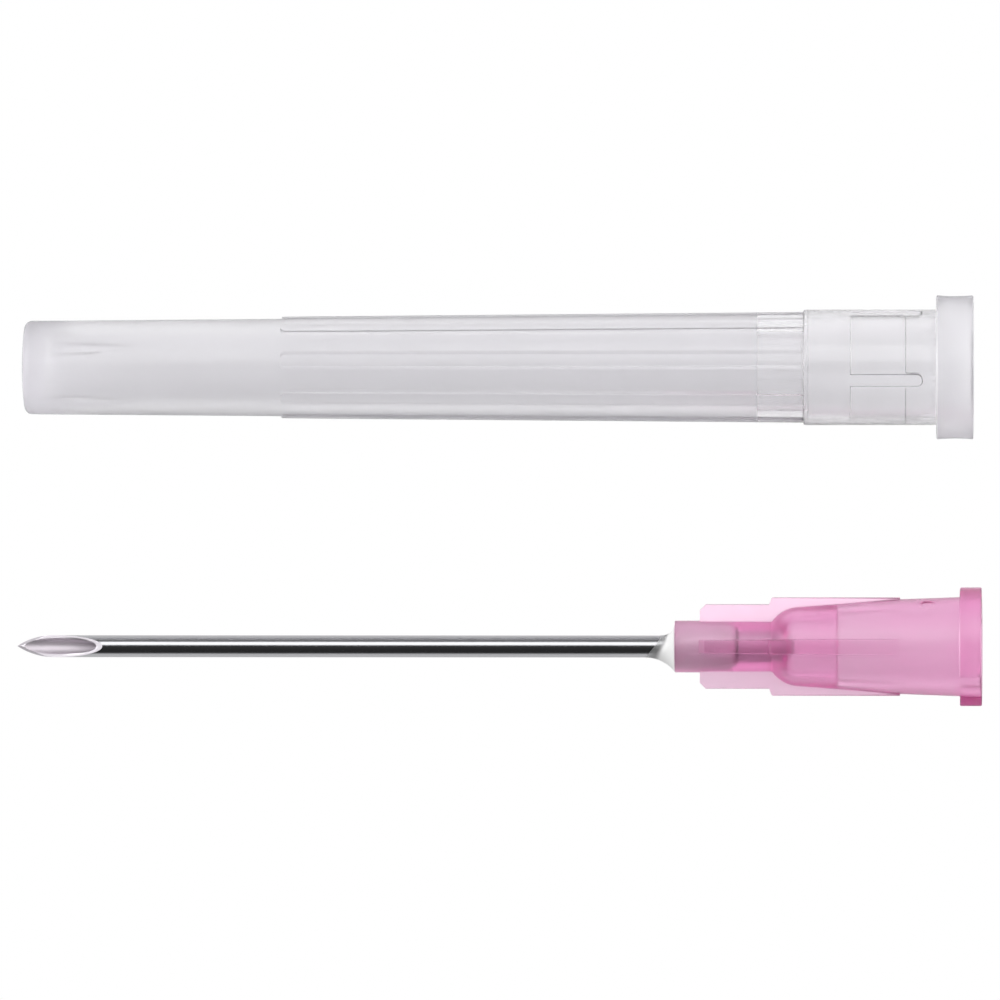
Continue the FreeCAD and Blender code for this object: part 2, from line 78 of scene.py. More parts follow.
@dataclass(frozen=True)
class Lie:
    """Where a piece's own frame lies on the floor.

    The piece's X axis rises by the tilt towards its +X end, after the piece has been
    turned about that axis by the roll. Angles are in radians, places in millimetres.
    """

    x: float
    y: float
    z: float
    tilt: float
    roll: float = 0.0

    def place(self, points: np.ndarray) -> np.ndarray:
        """Lay points of the piece's frame on the floor.

        Args:
            points: places in millimetres, the last axis holding x, y and z.

        Returns:
            The same places in the row's frame, in metres.
        """
        x, y, z = points[..., 0], points[..., 1], points[..., 2]
        cr, sr = math.cos(self.roll), math.sin(self.roll)
        y, z = y * cr - z * sr, y * sr + z * cr
        ct, st = math.cos(self.tilt), math.sin(self.tilt)
        laid = np.stack([self.x + x * ct - z * st, self.y + y, self.z + x * st + z * ct], -1)
        return laid * MILLIMETRE

    def ahead(self, distance: float) -> "Lie":
        """The same lie, moved along the piece's own X axis."""
        x = self.x + distance * math.cos(self.tilt)
        return replace(self, x=x, z=self.z + distance * math.sin(self.tilt))


def arc(centre: tuple, radius: float, start: float, end: float, count: int) -> np.ndarray:
    """Points of an arc in a profile's plane.

    Args:
        centre: the arc's centre as (x, r).
        radius: its radius.
        start: the first point's direction in degrees from +x towards +r.
        end: the last point's direction.
        count: how many points.

    Returns:
        The points as rows of (x, r).
    """
    turn = np.radians(np.linspace(start, end, count))
    return np.stack([centre[0] + radius * np.cos(turn), centre[1] + radius * np.sin(turn)], 1)


def join(*parts) -> np.ndarray:
    """Points and arcs of a profile, one after the other, as rows of (x, r)."""
    return np.concatenate([np.atleast_2d(np.asarray(part, float)) for part in parts])


def divide(start: tuple, end: tuple, count: int) -> np.ndarray:
    """A straight run of a profile as count points, both ends among them."""
    steps = np.linspace(0.0, 1.0, count)[:, None]
    return np.asarray(start, float) * (1 - steps) + np.asarray(end, float) * steps


def smooth(low: float, high: float, value: np.ndarray) -> np.ndarray:
    """A soft step from 0 at low to 1 at high."""
    step = np.clip((value - low) / (high - low), 0.0, 1.0)
    return step * step * (3.0 - 2.0 * step)


def bands(count: int, across: int, closed: bool) -> np.ndarray:
    """Quads between neighbouring rows of points round an axis.

    Args:
        count: how many rows there are.
        across: how many points each row has.
        closed: whether the last row meets the first.

    Returns:
        The numbers of each quad's four corners.
    """
    starts = np.arange(count if closed else count - 1)
    row, column = np.meshgrid(starts, np.arange(across), indexing="ij")
    following, below = (column + 1) % across, (row + 1) % count
    corners = [
        row * across + column,
        row * across + following,
        below * across + following,
        below * across + column,
    ]
    return np.stack(corners, -1).reshape(-1, 4)


def skin(
    rows: np.ndarray, lie: Lie, name: str, ring: bool = True, sharp: float = 28.0
) -> bpy.types.Object:
    """A closed skin through rows of points round an axis.

    Args:
        rows: row by column by (x, y, z) in the piece's frame, in millimetres, each row
            going once round the axis.
        lie: where the piece lies.
        name: the object's name.
        ring: whether the last row meets the first, or else both are drawn to poles.
        sharp: the least angle of a sharp edge, in degrees.

    Returns:
        The object, its faces turned outwards, smooth but for its sharp edges.
    """
    count, across = rows.shape[:2]
    points, faces = rows.reshape(-1, 3), [bands(count, across, ring)]
    if not ring:
        points = np.concatenate([points, rows[[0, -1]].mean(axis=1)])
        around = np.arange(across)
        onward, base = (around + 1) % across, (count - 1) * across
        pole = np.full(across, count * across)
        faces.append(np.stack([around, pole, onward], 1))
        faces.append(np.stack([base + around, base + onward, pole + 1], 1))
    return new_object(name, lie.place(points), faces, sharp)


def new_object(name: str, points: np.ndarray, faces: list, sharp: float) -> bpy.types.Object:
    """An object of these points and faces, with its faces turned outwards.

    Args:
        name: the object's name.
        points: its corners, in metres.
        faces: arrays of corner numbers, a row for each face.
        sharp: the least angle of a sharp edge, in degrees.

    Returns:
        The object, linked to the scene.
    """
    mesh = bpy.data.meshes.new(name)
    listed = [face for group in faces for face in group.tolist()]
    mesh.from_pydata(points.tolist(), [], listed)
    mesh.update()
    solid = bmesh.new()
    solid.from_mesh(mesh)
    if solid.calc_volume(signed=True) < 0:
        mesh.flip_normals()
    solid.free()
    mesh.shade_smooth()
    mesh.set_sharp_from_angle(angle=math.radians(sharp))
    made = bpy.data.objects.new(name, mesh)
    bpy.context.scene.collection.objects.link(made)
    return made


@dataclass(frozen=True)
class Spokes:
    """Columns round an axis for a section with evenly spaced raised bands.

    Half a sector runs from the middle of a band over its crest, down its side and along
    the wall to the middle of the gap. The columns keep their order round the axis, so
    that rows of different sections can follow each other in one skin.
    """

    count: int
    crest: int
    side: int
    wall: int
    edge: float = 0.05
    edge_points: int = 5
    draft: float = 0.004
    sector_share: float = 0.85

    def half(self, width: np.ndarray, top: np.ndarray, base: np.ndarray) -> tuple:
        """Angles and radii of half a sector for each row.

        The crest runs at the top's radius and ends in a quarter turn, the side goes down
        straight, wider with each step by the draft, and the wall runs at the base's radius.
        A point's angle is the arc sine of its offset over its radius. Near the axis the
        offsets shrink, so that a band keeps to its share of the sector.

        Args:
            width: the band's half width in each row.
            top: the crest's radius in each row.
            base: the wall's radius in each row.

        Returns:
            Angles from the band's middle, and radii, both row by column.
        """
        width, top, base = (np.asarray(v, float)[:, None] for v in (width, top, base))
        rise = np.clip((top - base) / self.edge, -1.0, 1.0)
        flat_y = np.linspace(0.0, 1.0, self.crest)[None, :] * (width - self.edge)
        flat_r = np.broadcast_to(top, flat_y.shape)
        turn = np.radians(np.linspace(90.0, 0.0, self.edge_points))[None, 1:]
        edge_y = width - self.edge + self.edge * np.cos(turn)
        edge_r = top - rise * self.edge * (1 - np.sin(turn))
        down = np.linspace(0.0, 1.0, self.side + 1)[None, 1:]
        foot = edge_r[:, -1:]
        side_y = width + self.draft * down * self.side
        side_r = foot + (base - foot) * down
        y = np.concatenate([flat_y, edge_y, side_y], 1)
        room = base * math.sin(self.sector_share * math.pi / self.count)
        y = y * np.minimum(1.0, room / y[:, -1:])
        r = np.concatenate([flat_r, edge_r, side_r], 1)
        angle = np.arcsin(np.clip(y / r, -1, 1))
        last = angle[:, -1:]
        along = np.linspace(0.0, 1.0, self.wall + 1)[None, 1:]
        wall_angle = last + (math.pi / self.count - last) * along
        wall_r = np.broadcast_to(base, wall_angle.shape)
        return np.concatenate([angle, wall_angle], 1), np.concatenate([r, wall_r], 1)

    def round(
        self, width: np.ndarray, top: np.ndarray, base: np.ndarray, raised: set | None = None
    ) -> tuple:
        """Angles and radii of whole rows.

        Args:
            width: the bands' half width in each row.
            top: the crests' radius in each row.
            base: the wall's radius in each row.
            raised: which of the bands are raised, all where it is None.

        Returns:
            Angles from the first band's middle, starting half a sector before it and
            rising, and radii, both row by column.
        """
        angle, radius = self.half(width, top, base)
        plain_angle, plain_radius = self.half(width, base, base)
        angles, radii = [], []
        for index in range(self.count):
            plain = raised is not None and index not in raised
            a, r = (plain_angle, plain_radius) if plain else (angle, radius)
            middle = 2 * math.pi * index / self.count
            angles += [middle - a[:, :0:-1], middle + a[:, :-1]]
            radii += [r[:, :0:-1], r[:, :-1]]
        return np.concatenate(angles, 1), np.concatenate(radii, 1)


def follow(*parts: tuple) -> list:
    """Parts of a skin one after the other, each given as x, angles and radii."""
    return [np.concatenate(values) for values in zip(*parts)]


def rows_at(x: np.ndarray, angle: np.ndarray, radius: np.ndarray) -> np.ndarray:
    """Rows of points round the axis.

    Args:
        x: each row's place along the axis, or each point's.
        angle: directions from the piece's own top towards its +Y side.
        radius: distances from the axis.

    Returns:
        The points, row by column by (x, y, z).
    """
    x = np.asarray(x, float)
    x = np.broadcast_to(x[:, None] if x.ndim == 1 else x, angle.shape)
    return np.stack([x, radius * np.sin(angle), radius * np.cos(angle)], -1)


def blank_material(name: str) -> tuple:
    """A new material and its tree, which has no nodes yet."""
    made = bpy.data.materials.new(name)
    made.use_nodes = True
    made.node_tree.nodes.clear()
    return made, made.node_tree


def add_node(
    tree: bpy.types.NodeTree, kind: str, inputs: dict, **settings: str | bool
) -> bpy.types.Node:
    """Add a node to a tree.

    Args:
        tree: the nodes it joins.
        kind: the node's type, without the ShaderNode that it begins with.
        inputs: for each socket its value, or the output that is linked into it.
        settings: the node's own settings.

    Returns:
        The node.
    """
    made = tree.nodes.new("ShaderNode" + kind)
    for name, value in settings.items():
        setattr(made, name, value)
    for socket, value in inputs.items():
        if isinstance(value, bpy.types.NodeSocket):
            tree.links.new(value, made.inputs[socket])
        else:
            made.inputs[socket].default_value = value
    return made


def soft_range(
    value: bpy.types.NodeSocket, start: float, end: float, low: float, high: float
) -> bpy.types.NodeSocket:
    """A value's soft step, made by a Map Range node.

    Args:
        value: the value.
        start: where the step begins.
        end: where it ends.
        low: what it gives before the start.
        high: what it gives beyond the end.

    Returns:
        The node's output.
    """
    inputs = {"Value": value, "From Min": start, "From Max": end, "To Min": low, "To Max": high}
    settings = {"interpolation_type": "SMOOTHSTEP"}
    return add_node(value.id_data, "MapRange", inputs, **settings).outputs["Result"]


class Distance(Enum):
    """What a ramp runs over, in the piece's own frame."""

    ALONG = "along its X axis"
    AWAY = "away from its X axis"


@dataclass(frozen=True)
class Ramp:
    """A soft change of one of the shader's numbers over a stretch of the piece.

    The number gains the amount before the start and nothing beyond the end. An end before
    the start turns that round.
    """

    socket: str
    distance: Distance
    start: float
    end: float
    amount: float


@dataclass(frozen=True)
class Finish:
    """A procedural finish: what a slot's nodes are made from.

    The grain is noise that darkens the colour by the tint and moves the roughness both
    ways. What is absorbed is given for red, green and blue, per millimetre.
    """

    name: str
    slot: Slot
    colour: tuple
    roughness: float
    metallic: float = 0.0
    transmission: float = 0.0
    ior: float = 1.49
    absorb: tuple = (0.0, 0.0, 0.0)
    grain: tuple = (1.0, 1.0, 1.0)
    grain_scale: float = 900.0
    grain_detail: float = 4.0
    grain_roughness: float = 0.05
    grain_tint: float = 0.03
    bump: float = 0.0
    bump_distance: float = 0.00001
    ramps: tuple = ()

    def material(self, lie: Lie) -> bpy.types.Material:
        """Build the finish's material, reading the piece's Object coordinates.

        Args:
            lie: the piece's own frame, which the grain follows.

        Returns:
            The material.
        """
        made, tree = blank_material(self.name)
        inputs = {
            "Vector": add_node(tree, "TexCoord", {}).outputs["Object"],
            "Location": [v * MILLIMETRE for v in (lie.x, lie.y, lie.z)],
            "Rotation": (lie.roll, -lie.tilt, 0.0),
        }
        own = add_node(tree, "Mapping", inputs, vector_type="TEXTURE")
        place = own.outputs["Vector"]
        inputs = {"Vector": place, "Scale": self.grain}
        grain = add_node(tree, "Mapping", inputs).outputs["Vector"]
        inputs = {"Vector": grain, "Scale": self.grain_scale, "Detail": self.grain_detail}
        noise = add_node(tree, "TexNoise", inputs).outputs["Fac"]

        darker = tuple(channel * (1.0 - self.grain_tint) for channel in self.colour)
        inputs = {"Factor": noise, "A": (*self.colour, 1.0), "B": (*darker, 1.0)}
        tint = add_node(tree, "Mix", inputs, data_type="RGBA")
        inputs = {
            "Value": noise,
            "To Min": max(0.0, self.roughness - self.grain_roughness),
            "To Max": self.roughness + self.grain_roughness,
        }
        haze = add_node(tree, "MapRange", inputs)
        inputs = {
            "Base Color": tint.outputs["Result"],
            "Metallic": self.metallic,
            "Roughness": haze.outputs["Result"],
            "IOR": self.ior,
            "Transmission Weight": self.transmission,
        }
        shader = add_node(tree, "BsdfPrincipled", inputs)
        if self.ramps:
            self.add_ramps(tree, shader, place)
        if self.bump:
            inputs = {"Strength": self.bump, "Distance": self.bump_distance, "Height": noise}
            relief = add_node(tree, "Bump", inputs)
            tree.links.new(relief.outputs["Normal"], shader.inputs["Normal"])
        result = {"Surface": shader.outputs["BSDF"]}
        if any(self.absorb):
            most = max(self.absorb)
            colour = (*(1 - a / most for a in self.absorb), 1.0)
            inputs = {"Color": colour, "Density": most / MILLIMETRE}
            inside = add_node(tree, "VolumeAbsorption", inputs)
            result["Volume"] = inside.outputs["Volume"]
        add_node(tree, "OutputMaterial", result)
        return made

    def add_ramps(
        self, tree: bpy.types.NodeTree, shader: bpy.types.Node, place: bpy.types.NodeSocket
    ) -> None:
        """Add each ramp to what its socket already has, a link or a number.

        Args:
            tree: the material's nodes.
            shader: the shader whose sockets change.
            place: the place in the piece's own frame.
        """
        inputs = {0: place, 1: (0.0, 1.0, 1.0)}
        across = add_node(tree, "VectorMath", inputs, operation="MULTIPLY")
        inputs = {0: across.outputs["Vector"]}
        away = add_node(tree, "VectorMath", inputs, operation="LENGTH")
        along = add_node(tree, "SeparateXYZ", {"Vector": place})
        distances = {Distance.ALONG: along.outputs["X"], Distance.AWAY: away.outputs["Value"]}
        for ramp in self.ramps:
            start, end = ramp.start * MILLIMETRE, ramp.end * MILLIMETRE
            step = soft_range(distances[ramp.distance], start, end, ramp.amount, 0.0)
            socket = shader.inputs[ramp.socket]
            so_far = socket.links[0].from_socket if socket.is_linked else socket.default_value
            total = add_node(tree, "Math", {0: step, 1: so_far}, use_clamp=True)
            tree.links.new(total.outputs["Value"], socket)


STEEL = Finish(
    name="drawn_steel",
    slot=Slot.STEEL,
    colour=(0.53, 0.53, 0.55),
    roughness=0.19,
    metallic=1.0,
    grain=(0.03, 1.0, 1.0),
    grain_scale=9000.0,
    grain_tint=0.05,
    bump=0.15,
    bump_distance=0.000002,
)
GROUND = replace(
    STEEL,
    name="ground_steel",
    colour=(0.80, 0.76, 0.81),
    roughness=0.40,
    grain=(1.0, 0.05, 0.05),
    grain_scale=12000.0,
    grain_roughness=0.06,
    grain_tint=0.08,
    bump=0.2,
)
BORE = replace(
    STEEL,
    name="bore_steel",
    colour=(0.76, 0.71, 0.76),
    roughness=0.62,
    grain=(0.05, 1.0, 1.0),
    grain_tint=0.06,
    bump=0.0,
)
BONDED = replace(
    BORE,
    name="bonded_steel",
    colour=(0.93, 0.90, 0.92),
    roughness=0.60,
    metallic=0.35,
    grain=(0.4, 1.0, 1.0),
    grain_scale=3000.0,
    grain_roughness=0.10,
    grain_tint=0.15,
)
PINK = Finish(
    name="pink_plastic",
    slot=Slot.PINK,
    colour=(1.0, 0.91, 0.965),
    roughness=0.31,
    transmission=0.96,
    absorb=(0.0, 0.28, 0.095),
    ramps=(Ramp("Roughness", Distance.AWAY, 0.66, 0.8, 0.2),),
    grain_scale=700.0,
    grain_roughness=0.02,
    grain_tint=0.05,
)
ADHESIVE = Finish(
    name="milky_adhesive",
    slot=Slot.ADHESIVE,
    colour=(0.98, 0.98, 0.975),
    roughness=0.45,
    ior=1.52,
    ramps=(Ramp("Transmission Weight", Distance.AWAY, 0.66, 0.80, 0.85),),
    grain_scale=2500.0,
    grain_roughness=0.12,
    grain_tint=0.05,
    bump=0.3,
    bump_distance=0.00002,
)
CLEAR = Finish(
    name="clear_plastic",
    slot=Slot.CLEAR,
    colour=(0.985, 0.98, 0.995),
    roughness=0.20,
    transmission=0.95,
    absorb=(0.02, 0.023, 0.016),
    ramps=(
        Ramp("Roughness", Distance.ALONG, 42.4, 42.55, 0.10),
        Ramp("Roughness", Distance.ALONG, 1.9, 3.4, 0.25),
        Ramp("Roughness", Distance.AWAY, 3.5, 3.38, 0.3),
    ),
    grain_scale=500.0,
    grain_roughness=0.02,
)


@dataclass
class Cannula:
    """The steel tube with its lancet point, x = 0 at the point."""

    lie: Lie
    exposed: float = 38.2
    inserted: float = 6.6
    outer: float = 0.635
    inner: float = 0.47
    bevel_length: float = 5.04
    bevel_angle: float = 13.5
    lancet_angle: float = 23.3
    lancet_roll: float = 35.0
    heel_round: float = 0.4
    heel_share: float = 0.55
    bonded_from: float = 38.4
    rear_edge: float = 0.012
    face_rows: int = 9
    tube_rows: tuple = (0.6, 0.25, 0.14, 0.1, 0.05, 0.02, 0.005)
    columns: int = 192
    finish: Finish = STEEL
    ground: Finish = GROUND
    drawn_bore: Finish = BORE
    bonded: Finish = BONDED

    def cut(self, radius: np.ndarray, angle: np.ndarray) -> np.ndarray:
        """Where the ground point begins at these radii and directions.

        Each grind is a slope: a point is kept where x is at least the height above the
        grind's foot, measured across the slope, divided by the slope's tangent. The bore's
        edge is blunted at the heel, as needles are so that they don't punch out a core.

        Args:
            radius: distances from the axis.
            angle: directions from the tube's top.

        Returns:
            The least x left standing.
        """
        y, z = radius * np.sin(angle), radius * np.cos(angle)
        slope = math.tan(math.radians(self.bevel_angle))
        blunted = self.heel_share * (self.outer - self.inner)
        near = np.clip(1.0 - (radius - self.inner) / blunted, 0.0, 1.0)
        blunt = self.heel_round * near**1.5 * np.clip(np.cos(angle), 0.0, 1.0) ** 2
        least = self.bevel_length - (self.outer - z) / slope + blunt
        roll = math.radians(self.lancet_roll)
        steep = math.tan(math.radians(self.lancet_angle))
        for side in (-1.0, 1.0):
            height = z * math.cos(roll) + side * y * math.sin(roll)
            least = np.maximum(least, (height + self.outer * math.cos(roll)) / steep)
        return least

    def build(self) -> bpy.types.Object:
        """Make the tube: outside from the rear to the point, then back along the bore.

        The tube's rows stand at fixed shares of the way from the ground point to the rear.

        Returns:
            The tube, with a finish for its outside, its ground faces, its bore and the part
            that is bonded into the hub.
        """
        angle = np.linspace(0, 2 * math.pi, self.columns, endpoint=False)[None, :]
        total = self.exposed + self.inserted
        share = np.array(self.tube_rows)[:, None]
        front = self.cut(np.array([[self.outer]]), angle)
        back = self.cut(np.array([[self.inner]]), angle)
        face = np.linspace(self.outer, self.inner, self.face_rows)[:, None]
        ends = np.full_like(front, total)
        out = [ends, np.full_like(front, self.bonded_from), front + (total - front) * share]
        x = np.concatenate(
            [*out, self.cut(face, angle), back + (total - back) * share[::-1], ends]
        )
        walls = np.ones((len(share) + 2, 1))
        radius = np.concatenate([walls * self.outer, face, walls[1:] * self.inner])
        radius[0] -= self.rear_edge
        radius[-1] += self.rear_edge
        radius = np.broadcast_to(radius, x.shape)
        rows = rows_at(x, np.broadcast_to(angle, x.shape), radius)
        made = skin(rows, self.lie, "cannula_tube", sharp=8.0)
        for finish in (self.finish, self.ground, self.drawn_bore, self.bonded):
            made.data.materials.append(finish.material(self.lie))
        skins = np.zeros((len(x), self.columns), np.int32)
        skins[0] = 3
        skins[len(walls) : -1] = 2
        skins[len(walls) : len(walls) + len(face) - 1] = 1
        made.data.polygons.foreach_set("material_index", skins.ravel())
        return made


@dataclass
class Hub:
    """The pink hub moulding, x = 0 at the nose face."""

    lie: Lie
    length: float = 17.73
    nose: float = 1.495
    shoulder: tuple = (5.6, 7.1)
    nose_edge: float = 0.03
    shoulder_radius: float = 2.31
    shoulder_centre: tuple = (7.219, 0.354)
    shoulder_bulge: float = 1.96
    cone_break: tuple = (13.0, 2.735)
    rear: float = 2.91
    fin_ends: tuple = (1.45, 13.0)
    fin_widths: tuple = (0.74, 0.92)
    fin_corner: float = 0.33
    fin_low: float = 2.44
    fin_step: float = 5.45
    fin_step_run: float = 0.15
    fin_high: float = 2.84
    lug_front: float = 16.47
    lug_radius: float = 3.425
    lug_edge: float = 0.08
    lug_span: float = 124.0
    lug_middle: float = 31.0
    lug_face: float = 0.06
    lug_lean: float = 0.3
    lug_blend: tuple = (13.0, 16.0)
    lug_face_columns: int = 6
    lug_column_share: float = 0.62
    mouth_face: float = 2.55
    mouth_blend: tuple = (4.0, 1.0)
    socket: float = 2.135
    socket_depth: float = 8.3
    socket_lead: float = 0.12
    taper: float = 0.03
    chamber: float = 1.46
    chamber_end: float = 6.45
    chamber_round: float = 0.6
    seat: float = 0.62
    well: tuple = (3.05, 0.95)
    well_end: float = 3.7
    bore_edge: float = 0.02
    gate_place: float = 14.6
    gate_turn: float = 60.0
    gate_radius: float = 0.5
    gate_flat: float = 0.7
    gate_depth: float = 0.06
    spokes: Spokes = Spokes(count=4, crest=7, side=6, wall=26)
    finish: Finish = PINK

    def body_radius(self, x: np.ndarray) -> np.ndarray:
        """The body's outside radius without fins: nose, shoulder arc and two cones.

        The arc's height is the centre's plus the root of the bulge's square less the square
        of the distance along the axis. It is kept between the nose and the shoulder.

        Args:
            x: places behind the nose face.

        Returns:
            The radius at each place.
        """
        x = np.asarray(x, float)
        (centre_x, centre_r), bulge = self.shoulder_centre, self.shoulder_bulge
        arc_r = centre_r + np.sqrt(np.maximum(bulge**2 - (x - centre_x) ** 2, 0.0))
        knots = [self.shoulder[1], self.cone_break[0], self.length]
        cone = np.interp(x, knots, [self.shoulder_radius, self.cone_break[1], self.rear])
        radius = np.where(x < self.shoulder[1], np.minimum(arc_r, self.shoulder_radius), cone)
        return np.where(x <= self.shoulder[0], self.nose, np.maximum(radius, self.nose))

    def fin_radius(self, x: np.ndarray) -> np.ndarray:
        """The radius over the fins: a bevelled front, a low stretch, a step, a high one.

        Args:
            x: places behind the nose face.

        Returns:
            The radius at each place, straight from knot to knot.
        """
        front, low, high, step = self.fin_ends[0], self.fin_low, self.fin_high, self.fin_step
        bevel = self.fin_corner
        knots = [front, front + bevel, step, step + self.fin_step_run, self.fin_ends[1]]
        return np.interp(x, knots, [low - bevel, low, low, high, high])

    def outside(self) -> tuple:
        """Rows of the outside with its fins, from the nose to the fins' end.

        Returns:
            x, angles and radii.
        """
        front, end = self.fin_ends
        x = np.concatenate(
            [
                [0.0, self.nose_edge, front - HAIR],
                np.linspace(front, front + self.fin_corner, 5),
                [3.0, self.fin_step - 0.02, self.fin_step],
                np.linspace(self.fin_step + 0.05, self.shoulder[1], 22),
                np.linspace(7.4, end, 8),
            ]
        )
        base = self.body_radius(x)
        base[0] -= self.nose_edge
        finned = x >= front
        top = np.where(finned, np.maximum(self.fin_radius(x), base), base)
        width = np.interp(x, self.fin_ends, self.fin_widths) / 2
        return (x, *self.spokes.round(width, top, base))

    def lug_columns(self, count: int) -> tuple:
        """Columns for the rows with lugs.

        Args:
            count: how many columns there are.

        Returns:
            Angles, and how far each column stands from the body (0) to the lug (1).
        """
        half, middle = math.radians(self.lug_span) / 2, math.radians(self.lug_middle)
        face = self.lug_face_columns
        lug_share = round((count / 2 - 2 * face) * self.lug_column_share)
        gap_share = count // 2 - 2 * face - lug_share
        width = self.lug_face / self.lug_radius
        up = np.linspace(0.0, 1.0, face)
        lean = width * self.lug_lean * up
        angles, rise = [], []
        for turn in (0.0, math.pi):
            start, end = middle - half + turn, middle + half + turn
            following = middle + math.pi - half + turn
            angles += [start + lean, np.linspace(start + width, end - width, lug_share)]
            rise += [up, np.ones(lug_share)]
            angles += [end - lean[::-1], np.linspace(end, following, gap_share + 2)[1:-1]]
            rise += [up[::-1], np.zeros(gap_share)]
        angle, rise = np.concatenate(angles), np.concatenate(rise)
        begin = -math.pi / self.spokes.count
        turned = (angle - begin) % (2 * math.pi) + begin
        order = np.argsort(turned, kind="stable")
        return turned[order], rise[order]

    def rear_rows(self, count: int, last_angle: np.ndarray) -> list:
        """Rows from the fins' end over the lugs to the mouth.

        The columns turn softly from where the fins leave them to where the lugs need them.
        The gate's mark is a soft-edged dimple, and a lug stands over the body by its rise.

        Args:
            count: how many columns there are.
            last_angle: the columns' angles at the fins' end.

        Returns:
            x, angles and radii.
        """
        lug_angle, rise = self.lug_columns(count)
        place, gate = self.gate_place, self.gate_radius
        x = np.concatenate(
            [
                [self.fin_ends[1] + HAIR, 13.3, 13.7],
                np.linspace(place - gate, place + gate, 15),
                np.linspace(15.3, self.lug_front - 0.02, 4),
            ]
        )
        blend = smooth(*self.lug_blend, x)[:, None]
        even = last_angle[:1] * (1 - blend) + lug_angle[None, :] * blend
        radius = np.repeat(self.body_radius(x)[:, None], count, 1)
        around = (even - math.radians(self.gate_turn) + math.pi) % (2 * math.pi) - math.pi
        away = np.hypot(x[:, None] - place, around * radius)
        radius = radius - self.gate_depth * (1 - smooth(gate * self.gate_flat, gate, away))
        front, edge = self.lug_front, self.lug_edge
        foot, rounded = float(self.body_radius(front)), self.lug_radius - edge
        turn = np.radians([25, 50, 70, 90])
        bend = np.stack([edge * (1 - np.cos(turn)), rounded + edge * np.sin(turn)], 1)
        lug_rows = join(
            (front, foot),
            (front + HAIR, rounded),
            bend + (front, 0.0),
            (self.length - edge - 0.2, self.lug_radius),
            bend[::-1] * (-1.0, 1.0) + (self.length, 0.0),
            (self.length, rounded),
        )
        lug_x, heights = lug_rows[:, 0], lug_rows[:, 1:]
        base = self.body_radius(lug_x)[:, None]
        lug_r = base + (np.maximum(heights, base) - base) * rise[None, :]
        lug_a = np.repeat(lug_angle[None, :], len(lug_x), 0)
        return follow((x, even, radius), (lug_x, lug_a, lug_r))

    def inside(self) -> np.ndarray:
        """The bore from the mouth to the nose face: socket, chamber, seat and well.

        Returns:
            The profile as rows of (x, r).
        """
        end = self.length - self.socket_depth
        end_radius = self.socket - self.taper * self.socket_depth
        low = self.chamber_end + self.chamber_round
        edge, lead, (well, well_radius) = self.bore_edge, self.socket_lead, self.well
        run = 0.3
        mouth = self.socket - self.taper * run
        return join(
            (self.length, self.mouth_face),
            (self.length, self.socket + lead),
            arc((self.length - lead, self.socket + lead), lead, 330, 270, 4),
            divide((self.length - run, mouth), (end + edge, end_radius), 8),
            (end, end_radius - edge),
            (end, self.chamber + edge),
            (end - edge, self.chamber),
            divide((end - run, self.chamber), (low + 0.1, self.chamber), 4),
            arc((low, self.chamber - self.chamber_round), self.chamber_round, 90, 180, 12),
            (self.chamber_end, self.seat + edge),
            (self.chamber_end - edge, self.seat),
            (self.well_end, self.seat),
            (well, well_radius),
            (edge, well_radius),
            (0.0, well_radius + edge),
        )

    def build(self) -> bpy.types.Object:
        """Make the hub as one closed skin, outside and then bore.

        Returns:
            The hub.
        """
        outside = self.outside()
        count = outside[1].shape[1]
        rear = self.rear_rows(count, outside[1][-1:])
        profile = self.inside()
        begin = -math.pi / self.spokes.count
        even = begin + 2 * math.pi * (np.arange(count) + 0.5) / count
        deep, near = self.mouth_blend
        blend = smooth(self.length - deep, self.length - near, profile[:, 0])[:, None]
        bore_angle = even[None, :] * (1 - blend) + rear[1][-1:] * blend
        bore = (profile[:, 0], bore_angle, np.repeat(profile[:, 1:], count, 1))
        return skin(rows_at(*follow(outside, rear, bore)), self.lie, "hub_moulding")


@dataclass
class Bead:
    """The adhesive, x = 0 at the hub's nose face."""

    lie: Lie
    tube: float = 0.635
    bore: float = 0.62
    rim: float = 1.47
    wet_long: float = 1.73
    wet_short: float = 0.8
    wet_slant: float = 1.3
    well: tuple = (3.05, 0.96)
    well_end: float = 3.7
    inside_run: float = 0.5
    nose_gap: float = 0.006
    curve_rows: int = 28
    row_bias: float = 0.85
    columns: int = 128
    finish: Finish = ADHESIVE

    def build(self) -> bpy.types.Object:
        """Make the fillet, whose foot runs obliquely round the tube, and the fill.

        The fillet's curve is a circle's arc that leaves the tube along it and ends at the
        nose's rim, so its radius is the squares of the foot's distance and the rise, added
        up, over twice the rise.

        Returns:
            The adhesive as one closed ring.
        """
        angle = np.linspace(0, 2 * math.pi, self.columns, endpoint=False)[None, :]
        side = 0.5 * (1.0 - np.sin(angle))
        foot = -(self.wet_short + (self.wet_long - self.wet_short) * side**self.wet_slant)
        rise = self.rim - self.tube
        curve = (foot**2 + rise**2) / (2 * rise)
        steps = np.linspace(0.0, 1.0, self.curve_rows)[:, None] ** self.row_bias
        x = foot * (1 - steps)
        radius = self.tube + curve - np.sqrt(np.maximum(curve**2 - (x - foot) ** 2, 0.0))
        start = np.concatenate([foot + self.inside_run, foot, foot - 0.01])
        start_r = np.full(start.shape, self.bore)
        (well, well_radius), gap = self.well, self.nose_gap
        back = join(
            (gap, self.rim - 0.01),
            (gap, well_radius + 0.02),
            (0.03, well_radius),
            (well, well_radius),
            (self.well_end, self.bore + 0.03),
            (self.well_end, self.bore),
        )
        back = np.repeat(back[:, :, None], self.columns, 2)
        all_x = np.concatenate([start, x, back[:, 0]])
        all_r = np.concatenate([start_r, radius, back[:, 1]])
        rows = rows_at(all_x, np.broadcast_to(angle, all_x.shape), all_r)
        return skin(rows, self.lie, "adhesive_fillet")


